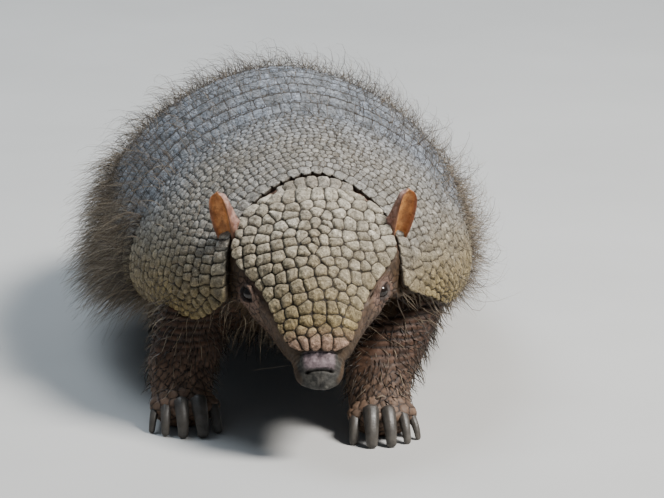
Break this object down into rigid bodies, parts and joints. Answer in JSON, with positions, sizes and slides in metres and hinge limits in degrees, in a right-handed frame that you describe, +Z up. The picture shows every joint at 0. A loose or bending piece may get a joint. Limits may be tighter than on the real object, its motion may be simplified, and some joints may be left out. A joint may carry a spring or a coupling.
{
  "type": "hairy armadillo",
  "caption": "Life-size hairy armadillo standing with its head lowered: domed armour of two shields and loose bands, head shield, upright ears, clawed feet and a bare tapering tail.",
  "frame": {"origin": "the middle of the bounding box, on the floor", "axes": "+Z up, -Y the way the animal faces, +X its left side; the soles and claw tips lie at Z = 0"},
  "size_m": [0.1808, 0.4174, 0.1215],
  "materials": {
    "armour": "horny scutes over bone, dull and finely pitted",
    "skin": "creased, scaly and thinly haired skin",
    "ear_skin": "thin bare skin",
    "eye": "wet and dark",
    "hair": "long coarse hair",
    "claw": "worn horn"
  },
  "bodies": {
    "root": {"scapular_shield": "armour", "pelvic_shield": "armour", "head_shield": "armour", "nuchal_band": "armour", "band_1": "armour", "band_2": "armour", "band_3": "armour", "band_4": "armour", "band_5": "armour", "band_6": "armour", "band_7": "armour", "head": "skin", "neck": "skin", "trunk": "skin", "tail": "skin", "leg_fore_left": "skin", "leg_fore_right": "skin", "leg_hind_left": "skin", "leg_hind_right": "skin", "ear_left": "ear_skin", "ear_right": "ear_skin", "eye_left": "eye", "eye_right": "eye", "claw_fore_left_1": "claw", "claw_fore_left_2": "claw", "claw_fore_left_3": "claw", "claw_fore_left_4": "claw", "claw_fore_left_5": "claw", "claw_fore_right_1": "claw", "claw_fore_right_2": "claw", "claw_fore_right_3": "claw", "claw_fore_right_4": "claw", "claw_fore_right_5": "claw", "claw_hind_left_1": "claw", "claw_hind_left_2": "claw", "claw_hind_left_3": "claw", "claw_hind_left_4": "claw", "claw_hind_left_5": "claw", "claw_hind_right_1": "claw", "claw_hind_right_2": "claw", "claw_hind_right_3": "claw", "claw_hind_right_4": "claw", "claw_hind_right_5": "claw", "flank_hair_left": "hair", "flank_hair_right": "hair"}
  },
  "joints": []
}
